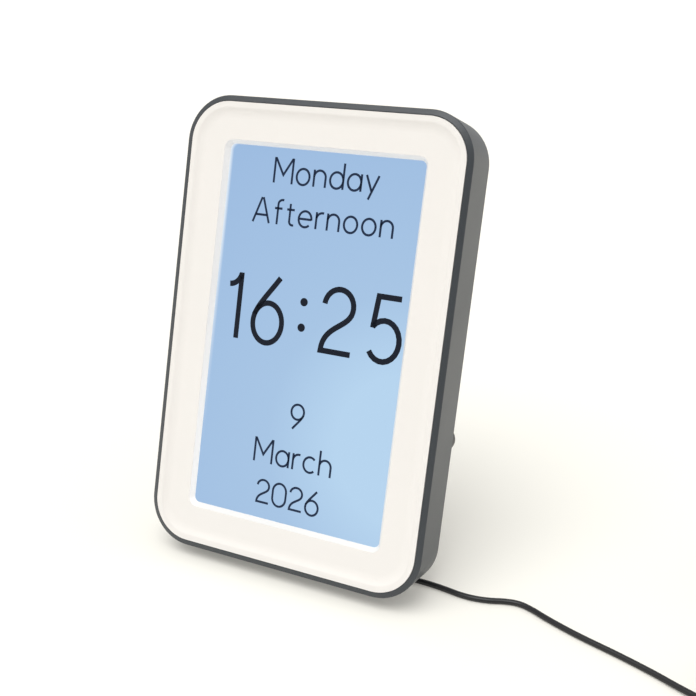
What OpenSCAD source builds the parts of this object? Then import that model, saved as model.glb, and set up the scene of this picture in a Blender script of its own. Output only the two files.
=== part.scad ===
// Day clock: an upright 7-inch display clock with a fold-out stand, rear buttons and a power lead.
// Millimetres, +Z up, the display faces -Y. The origin is at the middle of the base.

/* [Body] */
// Width over the casing at the front
body_w = 125; // [118:0.5:160]
// Height over the casing at the front, along the face
body_h = 189.5; // [184:0.5:240]
// Depth from the rear rim to the top of the front rim
body_d = 23; // [22.5:0.5:40]
// Radius of the casing's front corners, seen from the front
corner_r = 19; // [17:0.5:22]
// How much each side draws in from front to rear
draft = 1; // [0:0.1:2]
// Thickness of the casing's side walls at the rear
wall = 2.2; // [1.6:0.1:3]
// Width of the bevelled front rim
rim_w = 2.4; // [1.6:0.1:3]
// How far the rim slopes back
rim_drop = 1; // [0.4:0.1:2]
// Angle by which the clock leans back
lean_angle = 15.5; // [10:0.5:22]

/* [Face] */
// Width of the flat lip round the white face
lip_w = 2; // [1:0.1:3]
// Width of the hollowed band inside the lip
cove_w = 4.5; // [3:0.1:5]
// How far the flat of the face lies below its lip
cove_drop = 1.2; // [0.5:0.1:1.6]
// Thickness of the face
face_t = 2; // [1.5:0.1:3]
// Border of the display's tray that the face covers, at each side
side_cover = 6.8; // [5:0.1:12]
// Border of the display's tray that the face covers, at each end
end_cover = 7.25; // [5:0.05:14]
// Radius of the window's corners
window_r = 2.3; // [1:0.1:6]
// Slope of the window's edge, seen from the front
window_bevel = 1.5; // [0.5:0.1:2.5]
// Thickness of the rim behind the window's edge
window_rib = 1.6; // [1:0.1:2]
// Depth of the display's surface below the front rim
display_depth = 4.1; // [3.7:0.1:5]
// Gap between the face and the casing's rim
seam = 0.15; // [0.1:0.05:0.4]

/* [Display] */
// Room between the display's tray and the casing's wall, at each side
side_room = 9.3; // [8.4:0.1:14]
// Room between the display's tray and the casing's wall, at each end
end_room = 8.55; // [6:0.05:14]
// Thickness of the tray's sheet metal
tray_t = 0.5; // [0.3:0.1:0.8]
// Thickness of the glass display cell
cell_t = 1.4; // [1:0.1:2]
// Thickness of the diffuser sheet
diffuser_t = 0.4; // [0.2:0.1:0.8]
// Thickness of the light guide
guide_t = 2; // [1.5:0.1:3]
// Thickness of the foam gasket
gasket_t = 0.4; // [0.3:0.1:0.8]
// Width of the display ribbon
flex_w = 30; // [15:1:40]

/* [Rear cover] */
// Thickness of the rear cover
cover_t = 2.2; // [1.8:0.1:3]
// Width of the casing's rear edge that frames the cover
cover_lip = 1.2; // [0.8:0.1:1.6]
// Radius of a cover screw's thread
screw_r = 1.5; // [1.2:0.05:1.8]
// Length of a cover screw's thread
screw_len = 11; // [8:0.5:13]
// Radius of a cover screw's head
screw_head_r = 2.8; // [2.5:0.1:3]
// Radius of the round part of a keyhole
keyhole_r = 4.25; // [3.8:0.05:5]
// Width of a keyhole's slot
keyhole_slot = 4.2; // [3.5:0.1:5]
// Distance between the two keyholes
keyhole_gap = 60; // [54:1:72]

/* [Buttons] */
// Radius of a button
button_r = 3.8; // [3:0.1:4.5]
// How far a button stands out of the cover
button_out = 1; // [0.6:0.1:2]
// How far a button can be pushed
button_travel = 0.5; // [0.2:0.05:0.5]
// Distance between buttons
button_pitch = 13; // [12:0.5:14]

/* [Stand] */
// Height of the stand's pin above the rear bottom edge, along the back
hinge_up = 115; // [90:1:118]
// Angle by which the stand opens
stand_open = 27.5; // [24:0.5:34]
// Width of the stand at its pin
leg_w = 46; // [36:1:46]
// Width of the stand at its foot
leg_tip_w = 36; // [24:1:40]
// Thickness of the stand
leg_t = 4; // [3:0.1:4.5]
// Radius of the stand's pin
pin_r = 1.5; // [1:0.1:1.8]
// Thickness of the rubber foot on the stand
pad_t = 2; // [1:0.1:3]
// Height of the casing's rear edge above the table
lift = 1; // [0.6:0.1:2]

/* [Power lead] */
// Height of the power jack above the rear bottom edge, along the back
jack_up = 60; // [50:1:66]
// Distance of the power jack's middle from the casing's side wall
jack_in = 6.3; // [5.8:0.1:7.3]
// Radius of the plug's body
plug_r = 5.4; // [4.5:0.1:5.6]
// Diameter of the cord
cord_d = 2.4; // [2:0.1:2.8]
// Width of the wall adapter
adapter_w = 36; // [30:1:44]
// Length of the wall adapter
adapter_l = 62; // [50:1:80]
// Height of the wall adapter as it lies
adapter_h = 25; // [20:0.5:32]

/* [Hidden] */
$fn = 48;
// Clearance between pieces that stay still, and between pieces that move past each other
gap = 0.15;
run = 0.3;
// Running clearance of a round pin in its bore
fit = 0.05;

// Levels measured from the rear rim towards the front
face_z = body_d - cove_drop;
face_back = face_z - face_t;
cell_z = body_d - display_depth;
gasket_z = cell_z + gasket_t;
diffuser_z = cell_z - cell_t - 0.05;
guide_z = diffuser_z - diffuser_t - 0.05;
tray_z = guide_z - guide_t - 0.1 - tray_t;

// Rear outline
rear_w = body_w - 2 * draft;
rear_h = body_h - 2 * draft;
rear_r = corner_r - draft;
inner = draft + wall;
inner_w = body_w - 2 * inner;
inner_h = body_h - 2 * inner;
bottom = -rear_h / 2;

// The display's tray keeps its room in the casing, and the window follows the tray
tray_w = inner_w - 2 * side_room;
tray_h = inner_h - 2 * end_room;
window_w = tray_w - 2 * side_cover;
window_h = tray_h - 2 * end_cover;

// Screw posts for the cover, along both sides
post_r = 3.5;
tower_r = screw_head_r + 1.4;
tower_z = 6;
head_z = 3.4;
post_x = inner_w / 2 - tower_r - run;
post_rows = [body_h / 2 - corner_r, 10, corner_r - body_h / 2];

// Clips that hold the display tray
clip_post_r = 2.7;
clip_x = tray_w / 2 + 1.4 + clip_post_r;
clip_rows = [50, -50];
clip_t = 0.8;
clip_screw_r = 1;

// Stand's recess in the middle of the back, between the two ears that hold its pin
recess_w = leg_w + 1;
ear_w = 5;

// Power jack beside the casing's wall
jack_side = inner_w / 2 - jack_in;
jack_v = bottom + jack_up;
jack_w = 9;
jack_h = 11;
jack_bore = 2.85;
nose_r = 4.2;

// Main board: it reaches from the buttons' column to the casing's wall, level with the jack
button_in = 17.3;
button_x = button_in - inner_w / 2;
board_z = 8.6;
board_t = 1.6;
board_front = board_z + board_t;
board_l = button_x + 2;
board_r = inner_w / 2 - 1.3;
board_below = 28.25;
board_above = 28.75;
board_b = jack_v - board_below;
board_top = jack_v + board_above;
board_inset = 6;
board_post_x = [-recess_w / 2 - 6.5, jack_side - 13];
board_post_v = [board_top - board_inset, board_b + board_inset];
board_posts = [for (x = board_post_x, v = board_post_v) [x, v]];
board_post_r = 3;
board_screw_r = 1.25;
board_head_r = 2.2;

// Coin cell beside the power jack
coin_r = 10;
coin_t = 3.2;
coin_x = jack_side - jack_w / 2 - coin_r - 1.7;

// Keyholes: how far the screw slides up, and their height
keyhole_slide = 8;
keyhole_v = tray_h / 2 - 13;

// Buttons and their board
button_v = 16;
key_rows = [for (i = [0:3]) button_v + i * button_pitch];
flange_t = 1;
flange_r = button_r + 1.2;
key_post_r = 2.2;
key_post_off = flange_r + key_post_r + 0.6;
key_board_w = 16;
key_board_b = button_v - key_post_off - key_post_r - gap;
key_board_top = 2 * button_v + 3 * button_pitch - key_board_b;
key_posts = [[button_x, button_v - key_post_off], [button_x, key_rows[3] + key_post_off]];
all_board_posts = concat(board_posts, key_posts);
switch_h = 3.5;
plunger_z = board_z - switch_h - 0.4;
stem_z = plunger_z - button_travel - 0.1;

// Speaker
speaker_r = 13;
speaker_x = recess_w / 2 + ear_w + speaker_r;
speaker_v = 36;
lead_x = speaker_x + 4.5;
solder_tab = speaker_v - speaker_r + 4;

// Stand: the pin lies in the plane of the back
hinge_v = bottom + hinge_up;
leg_out = 1.6;
leg_in = leg_t - leg_out;
barrel_r = pin_r + 1.7;
ear_r = pin_r + 2.1;
heel = 4;
heel_r = sqrt(heel * heel + leg_in * leg_in);
heel_turn = min(90, stand_open + atan(leg_in / heel));
hinge_floor = heel_r * sin(heel_turn) + run;
recess_z = leg_in + 0.4;
recess_top = hinge_v + heel_r + 1.2;
pan_t = 1.8;
pin_len = recess_w + 2 * ear_w - 0.6;
foot_tilt = stand_open - lean_angle;

// Table level and the middle of the base, from the leaning body
pin_y = hinge_up * sin(lean_angle);
pin_z = hinge_up * cos(lean_angle) + lift;
front_y = (draft + rim_w - 2 * draft) * sin(lean_angle) - body_d * cos(lean_angle);
foot_back = pin_y + pin_z * tan(foot_tilt) + leg_out / cos(foot_tilt);
top_back = rear_h * sin(lean_angle);
base_mid = (front_y + max(foot_back, top_back)) / 2;

// Power plug
plug_gap = 0.4;
plug_t = 12.6;
relief_z = -7;
relief_len = 16;
relief_r = 3;

// Cord: it leaves the plug, falls to the table, turns out under the corner and runs off to the side
cord_r = cord_d / 2;
cord_route = [
    [53, 0.8, 37.6], [53, -1.1, 30.6], [52.8, -2.2, 25], [51.7, -2.4, 19.4], [49.7, -1.5, 14.2],
    [46.6, 0.4, 9.6], [42.8, 2, 5.6], [38.4, 2, 2.7], [34.6, -0.4, 1.4], [33, -4.8, 1.2],
    [34.4, -9.4, 1.2], [38.4, -12.3, 1.2], [43.4, -13.4, 1.2], [49, -13.5, 1.2], [55, -13.4, 1.2],
    [61, -13.7, 1.2], [67, -14.4, 1.2], [73, -15.2, 1.2], [79, -15, 1.2], [85, -13.6, 1.2],
    [90, -11.7, 1.2], [95.5, -10.8, 1.2], [101, -12.2, 1.2], [107, -14.9, 1.2], [113.5, -17.6, 1.2],
    [120.5, -20.2, 1.2], [128, -22.6, 1.2], [136, -25, 1.2], [144.5, -27.8, 1.2], [153, -31, 1.3],
    [161, -34.5, 1.5], [169, -37.8, 1.8], [177, -40.7, 2]
];
tail_route = [
    [212.4, -22.4, 11.7], [211.9, -18.6, 11.8], [209.9, -12.8, 12], [207.4, -7, 12.2], [205.2, -1.5, 12.4],
    [204.2, 2.5, 12.5], [204, 5, 12.5]
];

// Stored coil: loops piled in four layers, wound in and out at a steady rate
coil_x = 193;
coil_y = -26;
coil_pitch = 3.2;
coil_turns = 3.2;
coil_layers = 4;
coil_mid = 14.15;
coil_lift = 0.9;
coil_start = -110;
coil_in = coil_mid - coil_turns * coil_pitch / 2;
coil_out = coil_mid + coil_turns * coil_pitch / 2;
coil_steps = 24;
tie_w = 9;
tie_t = 0.6;
tie_turn = 150;

// Adapter: it lies on its cover with the contact pins up
adapter_x = 204;
adapter_y = 14;
adapter_r = 5;
adapter_split = adapter_h / 2;
relief_out = 10;
adapter_neck = 2.6;

// ---- Shared shapes ----

// Rectangle with round corners
module rounded(w, h, r) {
    square([w - 2 * r, h], center = true);
    square([w, h - 2 * r], center = true);
    for (x = [-1, 1], y = [-1, 1])
        translate([x * (w / 2 - r), y * (h / 2 - r)])
            circle(r);
}

// Rounded block whose outline grows by g from its lower to its upper face
module drafted(w, h, r, t, g) {
    rotate([90, 0, 0])
        linear_extrude(h - 2 * r, center = true)
            polygon([[-w / 2, 0], [w / 2, 0], [w / 2 + g, t], [-w / 2 - g, t]]);
    rotate([90, 0, 90])
        linear_extrude(w - 2 * r, center = true)
            polygon([[-h / 2, 0], [h / 2, 0], [h / 2 + g, t], [-h / 2 - g, t]]);
    for (x = [-1, 1], y = [-1, 1])
        translate([x * (w / 2 - r), y * (h / 2 - r), 0])
            cylinder(h = t, r1 = r, r2 = r + g);
}

// Sweeps a flat profile round a rounded rectangle; the profile's x points outwards, its y to the front
module swept(w, h, r) {
    for (k = [0:3]) {
        a = k % 2 == 0 ? w : h;
        b = k % 2 == 0 ? h : w;
        rotate([0, 0, 90 * k]) {
            translate([a / 2, b / 2 - r, 0])
                rotate([90, 0, 0])
                    linear_extrude(b - 2 * r)
                        children();
            translate([a / 2 - r, b / 2 - r, 0])
                rotate_extrude(angle = 90)
                    translate([r, 0])
                        children();
        }
    }
}

// A plate of a rounded rectangle between two levels
module plate(w, h, r, z0, z1) {
    translate([0, 0, z0])
        linear_extrude(z1 - z0)
            rounded(w, h, r);
}

// A box given by its limits
module block(x0, x1, y0, y1, z0, z1) {
    translate([x0, y0, z0])
        cube([x1 - x0, y1 - y0, z1 - z0]);
}

// A round post between two levels
module post(p, r, z0, z1) {
    translate([p[0], p[1], z0])
        cylinder(h = z1 - z0, r = r);
}

// Places a shape of the body, drawn flat on its back, in the leaning pose on the table
module leaning() {
    translate([0, -base_mid, lift])
        rotate([90 - lean_angle, 0, 0])
            translate([0, -bottom, 0])
                children();
}

// Places a shape of the stand, drawn folded with the pin at the origin, in the open pose
module opened() {
    leaning()
        translate([0, hinge_v, 0])
            rotate([stand_open, 0, 0])
                children();
}

// Where a height over the table cuts the stand, in the stand's own folded frame
function foot_v(z, h) = (h - pin_z + z * sin(foot_tilt)) / cos(foot_tilt);

// ---- Casing and face ----

// Side walls with the bevelled rim, a seat for the face and a seat for the rear cover
module casing() {
    edge = 0.4;
    color("#7f807b")
        leaning()
            difference() {
                swept(body_w, body_h, corner_r)
                    polygon([
                        [-draft - edge, 0], [-draft, edge], [0, body_d - rim_drop], [-rim_w, body_d],
                        [-rim_w, face_back - gap], [-inner, face_back - gap], [-inner, cover_t + gap],
                        [-draft - cover_lip, cover_t + gap], [-draft - cover_lip, 0]
                    ]);
                block(-recess_w / 2, recess_w / 2, bottom - 3, bottom + inner, -1, recess_z + 0.2);
            }
}

// White dished face: flat lip, hollowed band, flat panel, bevelled window and screw posts behind
module front_bezel() {
    edge = rim_w + seam;
    band = edge + lip_w;
    bowl_r = (cove_w * cove_w + cove_drop * cove_drop) / (2 * cove_drop);
    span = asin(cove_w / bowl_r);
    steps = 6;
    flat = band + cove_w;
    window_back = gasket_z;
    frame_w = window_bevel + window_rib;
    color("#f8f4ee")
        leaning()
            difference() {
                union() {
                    plate(body_w - 2 * flat, body_h - 2 * flat, corner_r - flat, face_back, face_z);
                    swept(body_w, body_h, corner_r)
                        polygon(concat(
                            [for (i = [0:steps])
                                [-flat + bowl_r * sin(span * i / steps),
                                 face_z + bowl_r * (1 - cos(span * i / steps))]],
                            [[-edge, body_d], [-edge, face_back], [-flat, face_back]]
                        ));
                    plate(window_w + 2 * frame_w, window_h + 2 * frame_w, window_r + frame_w, window_back, face_back);
                    for (x = [-post_x, post_x], y = post_rows)
                        post([x, y], post_r, tower_z, face_back);
                    for (x = [-clip_x, clip_x], y = clip_rows)
                        post([x, y], clip_post_r, tray_z, face_back);
                }
                translate([0, 0, window_back])
                    drafted(window_w, window_h, window_r, face_z - window_back, window_bevel);
                plate(window_w, window_h, window_r, window_back - 1, window_back);
                plate(window_w + 2 * window_bevel, window_h + 2 * window_bevel, window_r + window_bevel,
                    face_z, face_z + 1);
                for (x = [-post_x, post_x], y = post_rows)
                    post([x, y], screw_r + fit, tower_z - 1, head_z + screw_len + 0.6);
                for (x = [-clip_x, clip_x], y = clip_rows)
                    post([x, y], clip_screw_r + fit, tray_z - 1, tray_z + 4.4);
            }
}

// ---- Display stack ----

module display_gasket() {
    w = window_w + 2 * window_bevel;
    h = window_h + 2 * window_bevel;
    color("#202224")
        leaning()
            difference() {
                plate(w + 2 * window_rib, h + 2 * window_rib, window_r + window_bevel + window_rib, cell_z, gasket_z);
                plate(w, h, window_r + window_bevel, cell_z - 1, gasket_z + 1);
            }
}

// Glass sandwich whose front shows the picture
module display_cell() {
    color("#a8c8e4")
        leaning()
            plate(tray_w - 2 * tray_t - 1, tray_h - 2 * tray_t - 1, 0.8, cell_z - cell_t, cell_z);
}

module diffuser_sheet() {
    color("#f4f4f0")
        leaning()
            plate(tray_w - 2 * tray_t - 2, tray_h - 2 * tray_t - 2, 0.8, diffuser_z - diffuser_t, diffuser_z);
}

// Clear plate that spreads the light of the lamp strip
module light_guide() {
    color("#dfeaf0")
        leaning()
            translate([0, 2, 0])
                plate(tray_w - 2 * tray_t - 2, tray_h - 2 * tray_t - 6, 0.8, guide_z - guide_t, guide_z);
}

// Strip of small lamps along the guide's lower edge
module lamp_strip() {
    lamps = 9;
    low = -tray_h / 2 + tray_t + 0.4;
    z0 = guide_z - guide_t;
    color("#e8e2b0")
        leaning() {
            block(-tray_w / 2 + 4, tray_w / 2 - 4, low, low + 0.8, z0, z0 + guide_t);
            for (i = [0:lamps - 1])
                translate([(i - (lamps - 1) / 2) * (tray_w - 20) / (lamps - 1), 0, 0])
                    block(-1.8, 1.8, low + 0.8, low + 2.8, z0 + 0.3, z0 + guide_t - 0.3);
        }
}

// Sheet metal tray behind the display, with a gap in its lower wall for the ribbon
module backlight_tray() {
    color("#b9bcbe")
        leaning()
            difference() {
                plate(tray_w, tray_h, 1.4, tray_z, cell_z - 0.5);
                plate(tray_w - 2 * tray_t, tray_h - 2 * tray_t, 1, tray_z + tray_t, cell_z);
                block(-flex_w / 2 - 1, flex_w / 2 + 1, -tray_h / 2 - 1, -tray_h / 2 + tray_t + 0.1,
                    cell_z - cell_t - 0.4, cell_z);
            }
}

// Flat clips that reach from posts of the face over the tray's edge
module display_clips() {
    color("#c4c6c8")
        leaning()
            for (x = [-1, 1], y = clip_rows)
                difference() {
                    translate([x * (clip_x - 2.5), y, tray_z - clip_t])
                        linear_extrude(clip_t)
                            rounded(2 * clip_post_r + 5, 7, 1.5);
                    post([x * clip_x, y], clip_screw_r + fit, tray_z - clip_t - 1, tray_z + 1);
                }
}

module clip_screws() {
    color("#9a9da0")
        leaning()
            for (x = [-clip_x, clip_x], y = clip_rows) {
                post([x, y], clip_screw_r, tray_z - clip_t - 0.2, tray_z + 4);
                post([x, y], 1.9, tray_z - clip_t - 1.2, tray_z - clip_t);
            }
}

// Ribbon from the display's lower edge, round the tray and into its connector
module display_ribbon() {
    t = 0.2;
    edge = -tray_h / 2 + tray_t + 0.5;
    out = -tray_h / 2 - 1.3;
    top = cell_z - cell_t + 0.3;
    low = board_front + 1.3;
    color("#b5702c")
        leaning() {
            block(-flex_w / 2, flex_w / 2, out, edge, top, top + t);
            block(-flex_w / 2, flex_w / 2, out, out + t, low, top + t);
            block(-flex_w / 2, flex_w / 2, out, board_b + 6, low, low + t);
        }
}

// ---- Electronics ----

module main_board() {
    color("#1f5a3a")
        leaning()
            difference() {
                block(board_l, board_r, board_b, board_top, board_z, board_front);
                for (p = board_posts)
                    post(p, board_screw_r + fit, board_z - 1, board_front + 1);
            }
}

// Processor, memory, regulator, coil, crystal and capacitors on the front of the board
module board_chips() {
    processor = 14;
    memory = 10;
    regulator = 6;
    coil = 8;
    crystal_l = 8;
    crystal_w = 3.2;
    can_r = 2;
    can_h = 2.8;
    color("#26282b")
        leaning()
            translate([0, jack_v, 0]) {
                chip(7, 2.75, processor, processor, 1.2);
                chip(-11, 2.75, memory, memory, 1);
                chip(27, 10.75, regulator, regulator, 1.5);
                chip(26, -6.25, coil, coil, 2.6);
                chip(0, 19.35, crystal_l, crystal_w, 1);
                for (x = [-26, -20, -14])
                    post([x, -12.25], can_r, board_front, board_front + can_h);
            }
}

// A flat component on the front of the board, given by its middle and size
module chip(x, v, w, h, t) {
    block(x - w / 2, x + w / 2, v - h / 2, v + h / 2, board_front, board_front + t);
}

// Socket on the board that grips the ribbon's end
module ribbon_connector() {
    v0 = board_b + 4;
    low = board_front + 1.3;
    color("#e6e0cf")
        leaning()
            difference() {
                block(-flex_w / 2 - 2, flex_w / 2 + 2, v0, v0 + 5, board_front, board_front + 2.3);
                block(-flex_w / 2 - 0.2, flex_w / 2 + 0.2, v0 - 1, v0 + 2.4, low - gap, low + 0.2 + gap);
            }
}

module coin_cell() {
    color("#c9cbcc")
        leaning()
            post([coin_x, jack_v], coin_r, board_z - 0.9 - coin_t, board_z - 0.9);
}

// Cup that holds the coin cell under the board
module cell_holder() {
    color("#2b2d30")
        leaning()
            difference() {
                post([coin_x, jack_v], coin_r + 1, board_z - 3.4, board_z);
                post([coin_x, jack_v], coin_r + gap, board_z - 4, board_z - 0.8);
            }
}

// Round speaker with its magnet and a solder tab
module speaker() {
    color("#3a3c40")
        leaning() {
            post([speaker_x, speaker_v], speaker_r, cover_t + 0.3, board_z - 0.6);
            post([speaker_x, speaker_v], speaker_r - 5, board_z - 0.6, board_z + 2.2);
            block(lead_x - 2.5, lead_x + 2.5, solder_tab - 3, solder_tab, board_z - 0.7, board_front + 0.1);
        }
}

module speaker_lead() {
    color("#a03028")
        leaning()
            block(lead_x - 1.2, lead_x + 1.2, board_top - 4, solder_tab, board_front + 0.1, board_front + 0.9);
}

// Power jack: its nose reaches through the cover
module power_jack() {
    color("#232427")
        leaning()
            translate([jack_side, jack_v, 0])
                difference() {
                    union() {
                        block(-jack_w / 2, jack_w / 2, -jack_h / 2, jack_h / 2, cover_t + 0.3, board_z);
                        cylinder(h = cover_t + 1, r = nose_r);
                    }
                    translate([0, 0, -1])
                        cylinder(h = 8.4, r = jack_bore);
                    translate([0, 0, 7])
                        cylinder(h = 2, r = 1);
                }
}

// The jack's centre contact
module jack_contact() {
    color("#d8c27a")
        leaning()
            translate([jack_side, jack_v, 0.9])
                cylinder(h = board_z - 0.9, r = 0.95);
}

// Strip board that carries the four key switches
module key_board() {
    color("#1f5a3a")
        leaning()
            difference() {
                block(button_x - key_board_w / 2, button_x + key_board_w / 2, key_board_b, key_board_top,
                    board_z, board_front);
                for (p = key_posts)
                    post(p, board_screw_r + fit, board_z - 1, board_front + 1);
            }
}

// Key switches, with their plungers drawn at the pressed height
module key_switches() {
    color("#2a2b2e")
        leaning()
            for (v = key_rows) {
                block(button_x - 3, button_x + 3, v - 3, v + 3, board_z - switch_h, board_z);
                post([button_x, v], 1.6, plunger_z, board_z - switch_h);
            }
}

// Flat cable between the two boards: it ends clear of the main board's screw
module key_cable() {
    low = board_top - board_inset + board_head_r + gap;
    high = key_board_b + 7;
    color("#c8c4b4")
        leaning()
            block(board_l + 0.5, button_x + key_board_w / 2, low, high, board_front, board_front + 0.5);
}

// Screws that hold both boards to the cover
module board_screws() {
    color("#9a9da0")
        leaning()
            for (p = all_board_posts) {
                post(p, board_screw_r, 3.4, board_front + 0.2);
                post(p, board_head_r, board_front, board_front + 1.2);
            }
}

// ---- Rear cover and what is on it ----

// Keyhole cut: a round entry, a slot above it and the hollow behind
module keyhole_cut() {
    w = keyhole_r + 0.6;
    translate([0, 0, -1])
        cylinder(h = cover_t + 2, r = keyhole_r);
    block(-keyhole_slot / 2, keyhole_slot / 2, 0, keyhole_slide, -1, cover_t + 1);
    translate([0, keyhole_slide, -1])
        cylinder(h = cover_t + 2, r = keyhole_slot / 2);
    block(-w, w, -w, keyhole_slide + w, cover_t, cover_t + 4.2);
}

// Closed box behind a keyhole that keeps the screw's head off the electronics
module keyhole_pocket() {
    w = keyhole_r + 2;
    block(-w, w, -w, keyhole_slide + w, 0, cover_t + 5.6);
}

// Rear cover with the stand's recess, hinge ears, screw towers, board posts and openings
module rear_cover() {
    edge = draft + cover_lip + gap;
    w = body_w - 2 * edge;
    h = body_h - 2 * edge;
    r = corner_r - edge;
    vent_w = 2;
    vent_l = 14;
    vent_pitch = 5;
    color("#6f716e")
        leaning()
            difference() {
                union() {
                    plate(w, h, r, 0, cover_t);
                    intersection() {
                        union() {
                            block(-recess_w / 2 - pan_t, recess_w / 2 + pan_t, bottom, recess_top + pan_t,
                                0, recess_z + pan_t);
                            block(-recess_w / 2 - ear_w, recess_w / 2 + ear_w, hinge_v - 8, recess_top + pan_t,
                                0, hinge_floor + pan_t);
                            translate([speaker_x, speaker_v, 0])
                                difference() {
                                    cylinder(h = cover_t + 3, r = speaker_r + 1.6);
                                    translate([0, 0, cover_t])
                                        cylinder(h = 4, r = speaker_r + run);
                                }
                        }
                        plate(inner_w - 2 * gap, inner_h - 2 * gap, corner_r - inner - gap, 0, board_z);
                    }
                    for (x = [-1, 1])
                        translate([x * (recess_w / 2 + ear_w / 2), hinge_v, 0])
                            rotate([0, 90, 0])
                                cylinder(h = ear_w, r = ear_r, center = true);
                    for (x = [-post_x, post_x], y = post_rows)
                        post([x, y], tower_r, 0, tower_z);
                    for (p = board_posts)
                        post(p, board_post_r, 0, board_z);
                    for (p = key_posts)
                        post(p, key_post_r, 0, board_z);
                    for (x = [-1, 1])
                        translate([x * keyhole_gap / 2, keyhole_v, 0])
                            keyhole_pocket();
                }
                block(-recess_w / 2, recess_w / 2, bottom - 1, hinge_v, -ear_r - 1, recess_z);
                block(-recess_w / 2, recess_w / 2, hinge_v - 7, recess_top, -ear_r - 1, hinge_floor);
                translate([0, hinge_v, 0])
                    rotate([0, 90, 0])
                        cylinder(h = recess_w + 2 * ear_w + 2, r = pin_r + 0.02, center = true);
                for (x = [-post_x, post_x], y = post_rows) {
                    post([x, y], screw_r + 0.2, -1, tower_z + 1);
                    post([x, y], screw_head_r + 0.2, -1, head_z);
                }
                for (p = all_board_posts)
                    post(p, board_screw_r + fit, 3.2, board_z + 1);
                for (v = key_rows)
                    post([button_x, v], button_r + 0.2, -1, cover_t + 1);
                post([jack_side, jack_v], nose_r + 0.2, -1, cover_t + 1);
                for (x = [-1, 1])
                    translate([x * keyhole_gap / 2, keyhole_v, 0])
                        keyhole_cut();
                post([speaker_x, speaker_v], 0.9, -1, cover_t + 1);
                for (ring = [1:2], i = [0:6 * ring - 1])
                    rotate_about([speaker_x, speaker_v], i * 60 / ring)
                        post([speaker_x + 4 * ring, speaker_v], 0.9, -1, cover_t + 1);
                for (i = [-3:3])
                    translate([i * vent_pitch, tray_h / 2 - 2, 0])
                        block(-vent_w / 2, vent_w / 2, -vent_l, 0, -1, cover_t + 1);
            }
}

// Turns a shape about an upright line through a point
module rotate_about(p, a) {
    translate([p[0], p[1], 0])
        rotate([0, 0, a])
            translate([-p[0], -p[1], 0])
                children();
}

// Cross-head screws, sunk in the cover's towers, that hold the face's posts
module cover_screws() {
    color("#55585a")
        leaning()
            for (x = [-post_x, post_x], y = post_rows)
                difference() {
                    union() {
                        post([x, y], screw_r, head_z - 0.2, head_z + screw_len);
                        post([x, y], screw_head_r, head_z - 2, head_z);
                    }
                    for (a = [0, 90])
                        translate([x, y, head_z - 2])
                            rotate([0, 0, a])
                                cube([3.2, 0.7, 2], center = true);
                }
}

// One rear button: cap, inner flange and stem
module button(i) {
    leaning()
        translate([button_x, key_rows[i], 0]) {
            translate([0, 0, -button_out])
                cylinder(h = 0.4, r1 = button_r - 0.4, r2 = button_r);
            translate([0, 0, 0.4 - button_out])
                cylinder(h = cover_t + run + button_out - 0.4, r = button_r);
            translate([0, 0, cover_t + run])
                cylinder(h = flange_t, r = flange_r);
            cylinder(h = stem_z, r = 1.5);
        }
}

module button_menu() {
    color("#e9e7e2") button(3);
}

module button_up() {
    color("#e9e7e2") button(2);
}

module button_down() {
    color("#e9e7e2") button(1);
}

module button_set() {
    color("#e9e7e2") button(0);
}

// Wedge-shaped rubber feet under the rear edge, flat on the table
module rubber_feet() {
    foot_w = 14;
    foot_x = body_w / 2 - 24.5;
    front = 10;
    back = 1.5;
    slope = draft / (body_d - rim_drop);
    function under(z) = bottom - (lift + z * sin(lean_angle)) / cos(lean_angle);
    color("#1c1d1f")
        leaning()
            for (x = [-foot_x, foot_x])
                intersection() {
                    translate([x - foot_w / 2, 0, 0])
                        rotate([90, 0, 90])
                            linear_extrude(foot_w)
                                polygon([
                                    [bottom - back * slope, back], [bottom - front * slope, front],
                                    [under(front), front], [under(back), back]
                                ]);
                    translate([x, bottom - 8, (front + back) / 2])
                        rotate([-90, 0, 0])
                            linear_extrude(20)
                                rounded(foot_w, front - back, 2.5);
                }
}

// ---- Stand ----

module stand_pin() {
    color("#b7babd")
        leaning()
            translate([0, hinge_v, 0])
                rotate([0, 90, 0])
                    cylinder(h = pin_len, r = pin_r, center = true);
}

// Half the stand's width at a distance below its pin
function leg_half(v) = leg_w / 2 - (leg_w - leg_tip_w) / 2 * max(0, -v - 20) / (pin_z - 20);

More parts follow.
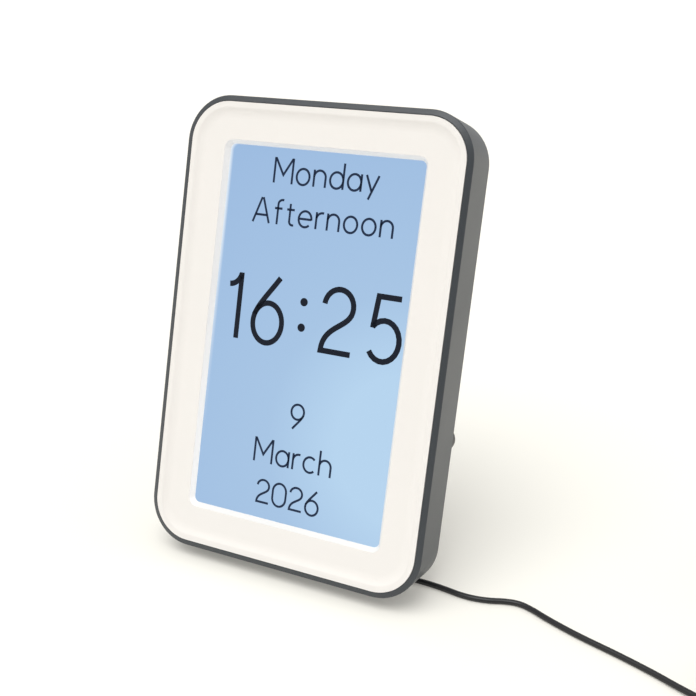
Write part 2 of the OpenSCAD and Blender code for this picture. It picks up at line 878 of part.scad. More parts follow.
// Stand leg: plate with barrel, heel stop, edge ribs and a ladder of ribs on its inner side
module stand_leg() {
    skin = 1.8;
    rib = 1.8;
    cells = 6;
    top = -12;
    low = foot_v(leg_in, pad_t) + 6;
    step = (top - low) / cells;
    color("#6f716e")
        opened()
            difference() {
                union() {
                    intersection() {
                        translate([-leg_w / 2, 0, 0])
                            rotate([90, 0, 90])
                                linear_extrude(leg_w)
                                    polygon([
                                        [heel, -leg_out + 1.5], [heel - 1.5, -leg_out],
                                        [foot_v(-leg_out, pad_t), -leg_out], [foot_v(leg_in, pad_t), leg_in],
                                        [heel, leg_in]
                                    ]);
                        translate([0, 0, -ear_r])
                            linear_extrude(2 * ear_r)
                                polygon([
                                    [-leg_w / 2, heel], [leg_w / 2, heel], [leg_w / 2, -20],
                                    [leg_tip_w / 2, -pin_z], [leg_tip_w / 2, -pin_z - 12],
                                    [-leg_tip_w / 2, -pin_z - 12], [-leg_tip_w / 2, -pin_z], [-leg_w / 2, -20]
                                ]);
                    }
                    rotate([0, 90, 0])
                        cylinder(h = leg_w, r = barrel_r, center = true);
                }
                rotate([0, 90, 0])
                    cylinder(h = leg_w + 2, r = pin_r + fit, center = true);
                for (i = [0:cells - 1], side = [-1, 1]) {
                    v1 = top - i * step - rib / 2;
                    v0 = v1 - step + rib;
                    translate([0, 0, skin - leg_out])
                        linear_extrude(leg_t)
                            polygon([
                                [side * rib / 2, v0], [side * (leg_half(v0) - rib), v0],
                                [side * (leg_half(v1) - rib), v1], [side * rib / 2, v1]
                            ]);
                }
            }
}

// Rubber foot on the leg's end, flat on the table when the stand is open
module stand_foot() {
    color("#1c1d1f")
        opened()
            translate([-leg_tip_w / 2 + 0.5, 0, 0])
                rotate([90, 0, 90])
                    linear_extrude(leg_tip_w - 1)
                        polygon([
                            [foot_v(-leg_out, pad_t), -leg_out], [foot_v(leg_in, pad_t), leg_in],
                            [foot_v(leg_in, 0), leg_in], [foot_v(-leg_out, 0), -leg_out]
                        ]);
}

// ---- Power lead ----

// Right-angle plug: a round moulded body with a ribbed strain relief that points down
module plug_body() {
    ribs = 5;
    color("#17181a")
        leaning()
            translate([jack_side, jack_v, 0])
                difference() {
                    union() {
                        translate([0, 0, -plug_gap - plug_t])
                            cylinder(h = 1, r1 = plug_r - 1, r2 = plug_r);
                        translate([0, 0, -plug_gap - plug_t + 1])
                            cylinder(h = plug_t - 1, r = plug_r);
                        translate([0, 0, relief_z])
                            rotate([90, 0, 0])
                                cylinder(h = plug_r + relief_len, r1 = relief_r, r2 = cord_r + 0.5);
                        for (i = [0:ribs - 1])
                            translate([0, -plug_r - 2.2 - i * 2.6, relief_z])
                                rotate([90, 0, 0])
                                    cylinder(h = 1.3, r = relief_r - 0.2 * i);
                    }
                    translate([0, 0, -plug_gap - 5])
                        cylinder(h = 6, r = 2.75);
                }
}

// The plug's metal barrel, hollow for the jack's contact
module plug_barrel() {
    color("#c9cbcc")
        leaning()
            translate([jack_side, jack_v, -plug_gap - 5])
                difference() {
                    cylinder(h = 12, r = 2.75);
                    translate([0, 0, 1])
                        cylinder(h = 12, r = 1.1);
                }
}

// Unit vector, and the length of a path
function unit(v) = v / norm(v);
function path_length(p) = len(p) < 2 ? 0 : [for (i = [1:len(p) - 1]) norm(p[i] - p[i - 1])] *
    [for (i = [1:len(p) - 1]) 1];

// Direction of a path at each of its points
function headings(p) = [for (i = [0:len(p) - 1])
    unit(p[min(i + 1, len(p) - 1)] - p[max(i - 1, 0)])];

// Side directions carried along a path without twisting
function sides(h, i, s) = i >= len(h) ? s :
    sides(h, i + 1, concat(s, [unit(s[i - 1] - (s[i - 1] * h[i]) * h[i])]));

// A tube of n sides along a path, closed at both ends
module tube(p, r, n) {
    h = headings(p);
    s = sides(h, 1, [unit(cross(h[0], abs(h[0][2]) > 0.7 ? [0, 1, 0] : [0, 0, 1]))]);
    rings = [for (i = [0:len(p) - 1], k = [0:n - 1])
        p[i] + r * (cos(360 * (k + 0.5) / n) * s[i] + sin(360 * (k + 0.5) / n) * cross(h[i], s[i]))];
    last = (len(p) - 1) * n;
    polyhedron(
        points = rings,
        faces = concat(
            [[for (k = [0:n - 1]) k]],
            [for (i = [0:len(p) - 2], k = [0:n - 1]) each [
                [i * n + k, (i + 1) * n + k, (i + 1) * n + (k + 1) % n],
                [i * n + k, (i + 1) * n + (k + 1) % n, i * n + (k + 1) % n]]],
            [[for (k = [n - 1:-1:0]) last + k]]
        )
    );
}

// Height and radius of the coil's line after t turns
spell = coil_turns + 0.5;
coil_total = coil_layers * coil_turns + (coil_layers - 1) * 0.5;
function coil_point(t) =
    let (
        layer = min(coil_layers - 1, floor(t / spell)),
        along = min(coil_turns, t - layer * spell),
        climb = max(0, t - layer * spell - coil_turns),
        inward = layer % 2 == 0,
        r = inward ? coil_out - along * coil_pitch : coil_in + along * coil_pitch,
        z = cord_r + coil_lift + (layer + 2 * climb) * coil_pitch,
        a = coil_start + 360 * t
    )
    [coil_x + r * cos(a), coil_y + r * sin(a), z];

coil_count = ceil(coil_total * coil_steps);
coil_wound = [for (i = [0:coil_count]) coil_point(coil_total * i / coil_count)];
coil_enter = [-sin(coil_start), cos(coil_start), 0];
coil_leave = [-sin(coil_start + 360 * coil_total), cos(coil_start + 360 * coil_total), 0];
coil_path = concat(
    [coil_wound[0] - cord_d * coil_enter],
    coil_wound,
    [coil_wound[coil_count] + cord_d * coil_leave]
);
coil_gap = min([for (i = [0:2:coil_count - 12], j = [i + 12:coil_count])
    norm(coil_wound[i] - coil_wound[j])]) - cord_d;
run_path = concat(cord_route, [coil_path[0]]);
tail_path = concat([coil_path[len(coil_path) - 1]], tail_route);
echo(coil_gap = coil_gap, base_mid = base_mid, pin = [0, pin_y - base_mid, pin_z]);
echo(run = path_length(run_path), coil = path_length(coil_path), tail = path_length(tail_path),
    whole = path_length(run_path) + path_length(coil_path) + path_length(tail_path));

module power_cord() {
    color("#141414") tube(run_path, cord_r, 8);
}

module cord_coil() {
    color("#141414") tube(coil_path, cord_r, 6);
}

module cord_tail() {
    color("#141414") tube(tail_path, cord_r, 8);
}

// Flat strap round the coil's bundle: its inner run lies across the chord of the innermost turn
module coil_tie() {
    tall = coil_pitch * (coil_layers - 1) + cord_d + 2 * run;
    near = sqrt(pow(coil_in - cord_r, 2) - pow(tie_w / 2, 2)) - run;
    far = coil_out + cord_r + run;
    wide = far - near;
    color("#2a2b2d")
        translate([coil_x, coil_y, 0])
            rotate([0, 0, tie_turn])
                translate([(near + far) / 2, tie_w / 2, coil_lift - run + tall / 2])
                    rotate([90, 0, 0])
                        linear_extrude(tie_w)
                            difference() {
                                rounded(wide + 2 * tie_t, tall + 2 * tie_t, 2);
                                rounded(wide, tall, 2 - tie_t);
                            }
}

// Upper shell of the wall adapter, with the raised pad that carries the pins
module adapter_case() {
    color("#1b1c1e")
        translate([adapter_x, adapter_y + adapter_l / 2, 0])
            difference() {
                union() {
                    plate(adapter_w, adapter_l, adapter_r, adapter_split, adapter_h - 1.5);
                    translate([0, 0, adapter_h - 1.5])
                        drafted(adapter_w, adapter_l, adapter_r, 1.5, -1.5);
                    translate([0, adapter_l / 2 - 20, adapter_h])
                        cylinder(h = 1, r = 14);
                }
                for (x = [-9.3, 9.3])
                    translate([x, adapter_l / 2 - 20, adapter_h - 6])
                        cylinder(h = 8, r = 2);
                relief_seat();
            }
}

// Lower shell of the wall adapter
module adapter_cover() {
    color("#1b1c1e")
        translate([adapter_x, adapter_y + adapter_l / 2, 0])
            difference() {
                union() {
                    drafted(adapter_w - 3, adapter_l - 3, adapter_r - 1.5, 1.5, 1.5);
                    plate(adapter_w, adapter_l, adapter_r, 1.5, adapter_split - gap);
                }
                relief_seat();
            }
}

// Hole that the two shells leave for the strain relief
module relief_seat() {
    translate([0, -adapter_l / 2 - 1, adapter_split])
        rotate([-90, 0, 0])
            cylinder(h = 5, r = adapter_neck + gap);
}

// Ribbed strain relief where the cord enters the adapter
module adapter_relief() {
    color("#17181a")
        translate([adapter_x, adapter_y, adapter_split])
            rotate([90, 0, 0]) {
                translate([0, 0, -3.6])
                    cylinder(h = 3.7, r = adapter_neck);
                cylinder(h = relief_out, r1 = 3.2, r2 = cord_r + 0.6);
                for (i = [0:2])
                    translate([0, 0, 1.6 + 2.6 * i])
                        cylinder(h = 1.3, r = 3.3 - 0.3 * i);
            }
}

// Two round contact pins, insulated over their lower half
module adapter_pins() {
    color("#c9cbcc")
        translate([adapter_x, adapter_y + adapter_l - 20, adapter_h - 5])
            for (x = [-9.3, 9.3])
                translate([x, 0, 0]) {
                    cylinder(h = 14, r = 1.9);
                    cylinder(h = 23, r = 1.85);
                    translate([0, 0, 23])
                        sphere(1.85);
                }
}

casing();
front_bezel();
display_gasket();
display_cell();
diffuser_sheet();
light_guide();
lamp_strip();
backlight_tray();
display_clips();
clip_screws();
display_ribbon();
main_board();
board_chips();
ribbon_connector();
coin_cell();
cell_holder();
speaker();
speaker_lead();
power_jack();
jack_contact();
key_board();
key_switches();
key_cable();
board_screws();
rear_cover();
cover_screws();
button_menu();
button_up();
button_down();
button_set();
rubber_feet();
stand_pin();
stand_leg();
stand_foot();
plug_body();
plug_barrel();
power_cord();
cord_coil();
cord_tail();
coil_tie();
adapter_case();
adapter_cover();
adapter_relief();
adapter_pins();
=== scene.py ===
"""Day clock: a white dished face and a lit display in a slate grey casing, on a fold-out stand."""
import math

import bmesh
import bpy
from mathutils import Matrix, Vector


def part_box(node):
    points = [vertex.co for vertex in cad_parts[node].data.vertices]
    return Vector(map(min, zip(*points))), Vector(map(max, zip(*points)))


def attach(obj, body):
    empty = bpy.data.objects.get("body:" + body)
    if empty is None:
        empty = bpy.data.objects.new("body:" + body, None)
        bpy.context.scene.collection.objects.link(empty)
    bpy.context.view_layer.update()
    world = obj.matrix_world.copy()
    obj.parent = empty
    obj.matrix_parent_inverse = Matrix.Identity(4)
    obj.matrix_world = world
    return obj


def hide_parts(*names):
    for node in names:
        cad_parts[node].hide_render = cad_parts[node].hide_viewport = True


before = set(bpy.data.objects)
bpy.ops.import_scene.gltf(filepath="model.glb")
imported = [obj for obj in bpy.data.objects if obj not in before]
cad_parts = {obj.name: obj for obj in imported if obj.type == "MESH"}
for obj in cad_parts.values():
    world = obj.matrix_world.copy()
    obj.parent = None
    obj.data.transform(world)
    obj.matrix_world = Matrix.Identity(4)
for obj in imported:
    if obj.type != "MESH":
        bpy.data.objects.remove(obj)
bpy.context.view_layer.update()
scene = bpy.context.scene

# ---- Camera ----
# The camera stands to the right of the clock and above it, near enough that the right side of the
# casing shows and its left side draws away.
camera_place = (0.18977, -0.35628, 0.24570)
camera_turn = math.radians(26.18)
camera_drop = math.radians(21.09)
camera = bpy.data.objects.new("camera", bpy.data.cameras.new("camera"))
scene.collection.objects.link(camera)
camera.data.sensor_width = 36
camera.data.lens = 54.2
camera.data.clip_start = 0.01
camera.location = camera_place
camera.rotation_euler = (math.pi / 2 - camera_drop, 0, camera_turn)
scene.camera = camera

# ---- Power plug ----
# A right-angle barrel plug of soft black vinyl, moulded over the cord with a ribbed strain relief.
# Its nickel-plated barrel sits in the jack.


def new_material(name):
    """A material, with its tree of nodes and its shader."""
    material = bpy.data.materials.new(name)
    material.use_nodes = True
    return material, material.node_tree, material.node_tree.nodes["Principled BSDF"]


def place_of_point(tree):
    """Where a point of the piece lies in the frame that all the pieces share."""
    return tree.nodes.new("ShaderNodeTexCoord").outputs["Object"]


def noise(tree, place, scale, detail):
    """A noise from 0 to 1, with about as many bumps in a metre as the scale says."""
    node = tree.nodes.new("ShaderNodeTexNoise")
    node.inputs["Scale"].default_value = scale
    node.inputs["Detail"].default_value = detail
    tree.links.new(place, node.inputs["Vector"])
    return node.outputs["Fac"]


def mapped(tree, value, low, high, at_low=0, at_high=1):
    """Turns the range from low to high into another one, and stays at its ends beyond them."""
    node = tree.nodes.new("ShaderNodeMapRange")
    node.inputs["From Min"].default_value = low
    node.inputs["From Max"].default_value = high
    node.inputs["To Min"].default_value = at_low
    node.inputs["To Max"].default_value = at_high
    tree.links.new(value, node.inputs["Value"])
    return node.outputs["Result"]


def vary(tree, shader, pattern, darkest, lightest, smoothest, roughest):
    """Lets a pattern carry the colour between two shades, and the roughness between two values."""
    shade = tree.nodes.new("ShaderNodeMix")
    shade.data_type = "RGBA"
    shade.inputs["A"].default_value = (*darkest, 1)
    shade.inputs["B"].default_value = (*lightest, 1)
    tree.links.new(pattern, shade.inputs["Factor"])
    tree.links.new(shade.outputs["Result"], shader.inputs["Base Color"])
    roughness = mapped(tree, pattern, low=0, high=1, at_low=smoothest, at_high=roughest)
    tree.links.new(roughness, shader.inputs["Roughness"])


def moulded(name, colour, roughness, grain=0.0004, depth=0.00002, drift=0.06, specular=0.5):
    """Moulded plastic or rubber: a fine spark-eroded grain, and slow drifts of shade and gloss."""
    gloss_drift = 0.06
    material, tree, shader = new_material(name)
    shader.inputs["Specular IOR Level"].default_value = specular
    place = place_of_point(tree)
    bump = tree.nodes.new("ShaderNodeBump")
    bump.inputs["Distance"].default_value = depth
    tree.links.new(noise(tree, place, scale=1 / grain, detail=3), bump.inputs["Height"])
    tree.links.new(bump.outputs["Normal"], shader.inputs["Normal"])
    vary(tree, shader, noise(tree, place, scale=22, detail=4),
         darkest=[c * (1 - drift) for c in colour],
         lightest=[min(1, c * (1 + drift)) for c in colour],
         smoothest=roughness - gloss_drift, roughest=roughness + gloss_drift)
    return material


def metal(name, colour, roughness, stretch=(1, 1, 1)):
    """Bare or plated metal, with the fine drawn or rolled lines that the stretch sets."""
    line_width = 0.0006
    material, tree, shader = new_material(name)
    shader.inputs["Metallic"].default_value = 1
    mapping = tree.nodes.new("ShaderNodeMapping")
    mapping.inputs["Scale"].default_value = stretch
    tree.links.new(place_of_point(tree), mapping.inputs["Vector"])
    vary(tree, shader, noise(tree, mapping.outputs["Vector"], scale=1 / line_width, detail=4),
         darkest=[c * 0.86 for c in colour],
         lightest=[min(1, c * 1.1) for c in colour],
         smoothest=roughness - 0.08, roughest=roughness + 0.1)
    return material


def softened(node, name, width, material, body="clock", segments=3):
    """A copy of a CAD solid with joined faces and rounded edges, which takes the solid's place."""
    same_point = 1e-6
    same_face = math.radians(0.5)
    sharp = math.radians(32)
    piece = bpy.data.objects.new(name, bpy.data.meshes.new(name))
    scene.collection.objects.link(piece)
    shape = bmesh.new()
    shape.from_mesh(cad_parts[node].data)
    bmesh.ops.remove_doubles(shape, verts=shape.verts, dist=same_point)
    bmesh.ops.dissolve_limit(shape, angle_limit=same_face, verts=shape.verts, edges=shape.edges)
    shape.to_mesh(piece.data)
    shape.free()
    piece.data.materials.append(material)
    piece.data.shade_smooth()
    piece.data.set_sharp_from_angle(angle=sharp)
    edges = piece.modifiers.new("rounded edges", "BEVEL")
    edges.limit_method = "ANGLE"
    edges.angle_limit = sharp
    edges.width = width
    edges.segments = segments
    edges.use_clamp_overlap = True
    even = piece.modifiers.new("even shading", "WEIGHTED_NORMAL")
    even.keep_sharp = True
    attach(piece, body)
    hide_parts(node)
    return piece


def finish_node(node, material):
    """Gives its material to a CAD solid that stays as it is."""
    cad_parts[node].data.materials.clear()
    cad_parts[node].data.materials.append(material)


vinyl = moulded("black vinyl", (0.010, 0.010, 0.011), 0.42, drift=0.2)
plug = softened("plug_body", "plug", 0.0004, vinyl)
finish_node("plug_barrel", metal("nickel plate", (0.60, 0.585, 0.55), 0.2))

# ---- Wall adapter ----
# Two black polycarbonate shells, welded along the middle. The upper one has a raised round pad with
# two plated pins, insulated near the pad. A ribbed vinyl strain relief is held between the shells.
adapter_black = moulded("adapter black", (0.013, 0.013, 0.014), 0.5,
                        grain=0.0007, depth=0.00006, drift=0.12)
adapter_top = softened("adapter_case", "adapter_top", 0.0006, adapter_black)
adapter_base = softened("adapter_cover", "adapter_base", 0.0006, adapter_black)
relief = softened("adapter_relief", "adapter_strain_relief", 0.0003, vinyl)


def axis_of(tree, place, axis):
    """A point's X, Y or Z."""
    split = tree.nodes.new("ShaderNodeSeparateXYZ")
    tree.links.new(place, split.inputs["Vector"])
    return split.outputs[axis]


def calculated(tree, operation, first, second):
    """Works one value out from two. The first is a node's output; the second may be a number."""
    node = tree.nodes.new("ShaderNodeMath")
    node.operation = operation
    tree.links.new(first, node.inputs[0])
    if isinstance(second, bpy.types.NodeSocket):
        tree.links.new(second, node.inputs[1])
    else:
        node.inputs[1].default_value = second
    return node.outputs["Value"]


insulated = 0.0078
insulation_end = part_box("adapter_case")[1].z + insulated
pins = metal("plated pins", (0.62, 0.6, 0.56), 0.22, stretch=(1, 1, 0.1))
tree = pins.node_tree
plating = tree.nodes["Principled BSDF"]
insulation = tree.nodes.new("ShaderNodeBsdfPrincipled")
insulation.inputs["Base Color"].default_value = (0.014, 0.014, 0.015, 1)
insulation.inputs["Roughness"].default_value = 0.45
height = axis_of(tree, place_of_point(tree), "Z")
bare = calculated(tree, "GREATER_THAN", height, insulation_end)
pin_surface = tree.nodes.new("ShaderNodeMixShader")
tree.links.new(bare, pin_surface.inputs["Fac"])
tree.links.new(insulation.outputs["BSDF"], pin_surface.inputs[1])
tree.links.new(plating.outputs["BSDF"], pin_surface.inputs[2])
tree.links.new(pin_surface.outputs["Shader"], tree.nodes["Material Output"].inputs["Surface"])
finish_node("adapter_pins", pins)

# ---- Power cord ----
# 1.5 m of thin round black cord. It hangs from the plug, turns out under the clock's corner, runs
# along the table and ends in a coil held by a strap, from which a short tail goes into the adapter.
cord_diameter = 0.0024

# The cord's middle, in millimetres: from the plug to the coil, and from the coil to the adapter
cord_route = [
    (53, 0.8, 37.6), (53, -1.1, 30.6), (52.8, -2.2, 25), (51.7, -2.4, 19.4), (49.7, -1.5, 14.2),
    (46.6, 0.4, 9.6), (42.8, 2, 5.6), (38.4, 2, 2.7), (34.6, -0.4, 1.4), (33, -4.8, 1.2),
    (34.4, -9.4, 1.2), (38.4, -12.3, 1.2), (43.4, -13.4, 1.2), (49, -13.5, 1.2), (55, -13.4, 1.2),
    (61, -13.7, 1.2), (67, -14.4, 1.2), (73, -15.2, 1.2), (79, -15, 1.2), (85, -13.6, 1.2),
    (90, -11.7, 1.2), (95.5, -10.8, 1.2), (101, -12.2, 1.2), (107, -14.9, 1.2),
    (113.5, -17.6, 1.2), (120.5, -20.2, 1.2), (128, -22.6, 1.2), (136, -25, 1.2),
    (144.5, -27.8, 1.2), (153, -31, 1.3), (161, -34.5, 1.5), (169, -37.8, 1.8), (177, -40.7, 2),
]
tail_route = [
    (212.4, -22.4, 11.7), (211.9, -18.6, 11.8), (209.9, -12.8, 12), (207.4, -7, 12.2),
    (205.2, -1.5, 12.4), (204.2, 2.5, 12.5), (204, 5, 12.5), (204, 14, 12.5), (204, 24, 12.5),
]

# The coil, in millimetres and degrees. Its layers are wound inwards and outwards in turn.
coil_middle = (193, -26)
coil_radius = 14.15
coil_pitch = 3.2
coil_turns = 3.2
coil_layers = 4
climb_turns = 0.5
coil_inner = coil_radius - coil_turns * coil_pitch / 2
coil_outer = coil_radius + coil_turns * coil_pitch / 2
coil_start = -110
coil_low = 2.1
steps_per_turn = 24
layer_turns = coil_turns + climb_turns
all_turns = coil_layers * coil_turns + (coil_layers - 1) * climb_turns


def coil_point(turned):
    """The cord's middle after some turns: it spirals within a layer and climbs to the next."""
    layer = min(coil_layers - 1, int(turned / layer_turns))
    along = min(coil_turns, turned - layer * layer_turns)
    climbed = max(0, turned - layer * layer_turns - coil_turns) / climb_turns
    inwards = layer % 2 == 0
    radius = coil_outer - along * coil_pitch if inwards else coil_inner + along * coil_pitch
    angle = math.radians(coil_start + 360 * turned)
    return (
        coil_middle[0] + radius * math.cos(angle),
        coil_middle[1] + radius * math.sin(angle),
        coil_low + (layer + climbed) * coil_pitch,
    )


coil_steps = math.ceil(all_turns * steps_per_turn)
coil_route = [coil_point(all_turns * i / coil_steps) for i in range(coil_steps + 1)]
route = [[v / 1000 for v in p] for p in cord_route + coil_route + tail_route]

line = bpy.data.curves.new("power_cord_line", "CURVE")
line.dimensions = "3D"
line.resolution_u = 3
line.bevel_depth = cord_diameter / 2
line.bevel_resolution = 3
line.use_fill_caps = True
spline = line.splines.new("BEZIER")
spline.bezier_points.add(len(route) - 1)
for knot, point in zip(spline.bezier_points, route):
    knot.co = point
    knot.handle_left_type = knot.handle_right_type = "AUTO"
cord = bpy.data.objects.new("power_lead", line)
scene.collection.objects.link(cord)
sheath = moulded("black sheath", (0.008, 0.008, 0.009), 0.38, grain=0.0008, drift=0.2)
line.materials.append(sheath)
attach(cord, "clock")
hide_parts("power_cord", "cord_coil", "cord_tail")

woven = moulded("woven strap", (0.02, 0.02, 0.022), 0.85, grain=0.0005, depth=0.0002)
strap = softened("coil_tie", "coil_strap", 0.0002, woven)

# ---- Casing ----
# Four side walls and a bevelled front rim, moulded in one piece of slate grey ABS with a fine matt
# grain. The sides draw in a little towards the back.
slate = moulded("slate grey plastic", (0.042, 0.048, 0.054), 0.40,
                grain=0.0005, depth=0.00003, drift=0.05)
softened("casing", "casing_shell", 0.001, slate)

# ---- Face ----
# A white satin ABS moulding dropped into the casing: a narrow flat lip, a hollowed band inside it,
# the flat panel, and a bevelled window down to the display. The window's left and upper walls get a
# painted glow, stronger lower down, that stands in for the display's light falling on them.
body_lean = math.radians(15.5)
body_tall = 0.1875
base_middle = 0.0171732
body_lift = 0.001
leaning = (
    Matrix.Translation((0, -base_middle, body_lift))
    @ Matrix.Rotation(math.pi / 2 - body_lean, 4, "X")
    @ Matrix.Translation((0, body_tall / 2, 0))
)
face_up = leaning.to_3x3() @ Vector((0, 1, 0))
face_out = leaning.to_3x3() @ Vector((0, 0, 1))
corner_middle = (-0.0393, 0.0729, 0)
wall_top = 0.0217
wall_reach = 0.008


def measured(tree, operation, place, other=None):
    """A number worked out from a place, and from a second place or a direction if one is given."""
    node = tree.nodes.new("ShaderNodeVectorMath")
    node.operation = operation
    tree.links.new(place, node.inputs[0])
    if other is not None:
        node.inputs[1].default_value = other
    return node.outputs["Value"]


def changed(tree, operation, place, other):
    """A place with each axis changed by that of another vector."""
    node = tree.nodes.new("ShaderNodeVectorMath")
    node.operation = operation
    node.inputs[1].default_value = other
    tree.links.new(place, node.inputs[0])
    return node.outputs["Vector"]


def from_back(tree, place, way):
    """How far a point is from the middle of the clock's back, along a direction of the face."""
    along = measured(tree, "DOT_PRODUCT", place, way)
    return calculated(tree, "SUBTRACT", along, way.dot(leaning.translation))


def beyond_corner(tree, place):
    """How far a point is to the left of the middle of the window's corner rounding, or above it."""
    spot = tree.nodes.new("ShaderNodeCombineXYZ")
    tree.links.new(axis_of(tree, place, "X"), spot.inputs["X"])
    tree.links.new(from_back(tree, place, face_up), spot.inputs["Y"])
    past = changed(tree, "SUBTRACT", spot.outputs["Vector"], corner_middle)
    past = changed(tree, "MULTIPLY", past, (-1, 1, 0))
    past = changed(tree, "MAXIMUM", past, (0, 0, 0))
    return measured(tree, "LENGTH", past)


white = moulded("white face plastic", (0.87, 0.835, 0.785), 0.4,
                grain=0.0006, depth=0.00001, drift=0.01)
tree = white.node_tree
shader = tree.nodes["Principled BSDF"]
# Painted glow: the white plastic emits light on the window's left and upper walls, stronger lower
# down.
shader.inputs["Emission Color"].default_value = (1, 1, 1, 1)
place = place_of_point(tree)
beyond = beyond_corner(tree, place)
below_panel = calculated(tree, "LESS_THAN", from_back(tree, place, face_out), wall_top)
near_window = calculated(tree, "LESS_THAN", beyond, wall_reach)
on_wall = calculated(tree, "MULTIPLY", below_panel, near_window)
painted_glow = mapped(tree, beyond, low=0.001, high=0.0035, at_high=0.12)
lower = mapped(tree, axis_of(tree, place, "Z"), low=0.04, high=0.12, at_low=1.7, at_high=1)
strength = calculated(tree, "MULTIPLY", calculated(tree, "MULTIPLY", painted_glow, lower), on_wall)
tree.links.new(strength, shader.inputs["Emission Strength"])
softened("front_bezel", "face_panel", 0.00025, white)

# ---- Display ----
# A 7-inch liquid crystal cell with a satin polariser, lit from behind, over its diffuser, light
# guide, lamp strip and sheet metal tray. Foam closes the joint to the face, and flat clips hold the
# tray. The blue is brightest at the lower right, and pale light leaks in at the left and top.
cell_level = 0.0189
brightest = leaning @ Vector((0.049, -0.036, cell_level))
picture, tree, shader = new_material("lit display")
shader.inputs["Base Color"].default_value = (0.008, 0.008, 0.009, 1)
shader.inputs["Roughness"].default_value = 0.35
shader.inputs["Specular IOR Level"].default_value = 0.2
shader.inputs["Emission Strength"].default_value = 1
place = place_of_point(tree)
away = measured(tree, "DISTANCE", place, brightest)
blue = tree.nodes.new("ShaderNodeValToRGB")
blue.color_ramp.elements[0].color = (0.452, 0.643, 0.843, 1)
blue.color_ramp.elements[1].color = (0.318, 0.482, 0.730, 1)
blue.color_ramp.elements.new(0.27).color = (0.370, 0.540, 0.760, 1)
tree.links.new(mapped(tree, away, low=0.03, high=0.145), blue.inputs["Fac"])
leak = mapped(tree, beyond_corner(tree, place), low=0.0026, high=0.0041, at_high=0.9)
upper = mapped(tree, axis_of(tree, place, "Z"), low=0.05, high=0.14)
light = tree.nodes.new("ShaderNodeMix")
light.data_type = "RGBA"
light.inputs["B"].default_value = (0.80, 0.88, 0.95, 1)
tree.links.new(calculated(tree, "MULTIPLY", leak, upper), light.inputs["Factor"])
tree.links.new(blue.outputs["Color"], light.inputs["A"])
tree.links.new(light.outputs["Result"], shader.inputs["Emission Color"])
finish_node("display_cell", picture)

rolled = metal("rolled steel", (0.42, 0.43, 0.44), 0.38, stretch=(1, 0.06, 0.06))
finish_node("backlight_tray", rolled)
finish_node("display_clips", rolled)
zinc = metal("zinc plated screws", (0.40, 0.41, 0.42), 0.3)
finish_node("clip_screws", zinc)
foam = moulded("black foam", (0.018, 0.018, 0.02), 0.9, grain=0.0006, depth=0.0003)
finish_node("display_gasket", foam)
finish_node("diffuser_sheet", moulded("diffuser film", (0.82, 0.82, 0.8), 0.6, grain=0.0003))
finish_node("light_guide", moulded("clear acrylic", (0.78, 0.83, 0.86), 0.12, drift=0.02))
lamps = moulded("lamp strip", (0.75, 0.68, 0.38), 0.4, grain=0.002, drift=0.25)
finish_node("lamp_strip", lamps)

# ---- Display text ----
# The words and numbers of the day, drawn by the display in a thin even line. Each character is a
# few strokes, and each stroke is a narrow strip that lies on the cell's surface.


def arc(x, y, rx, ry, start, end, steps=18):
    """Points along part of an ellipse, between two angles in degrees."""
    angles = [math.radians(start + (end - start) * i / steps) for i in range(steps + 1)]
    return [(x + rx * math.cos(angle), y + ry * math.sin(angle)) for angle in angles]


def bend(a, b, c, d, steps=14):
    """Points along a free curve from a to d, drawn towards b and c on its way."""
    return [
        tuple((1 - t) ** 3 * p + 3 * t * (1 - t) ** 2 * q + 3 * t * t * (1 - t) * r + t ** 3 * s
              for p, q, r, s in zip(a, b, c, d))
        for t in (i / steps for i in range(steps + 1))
    ]


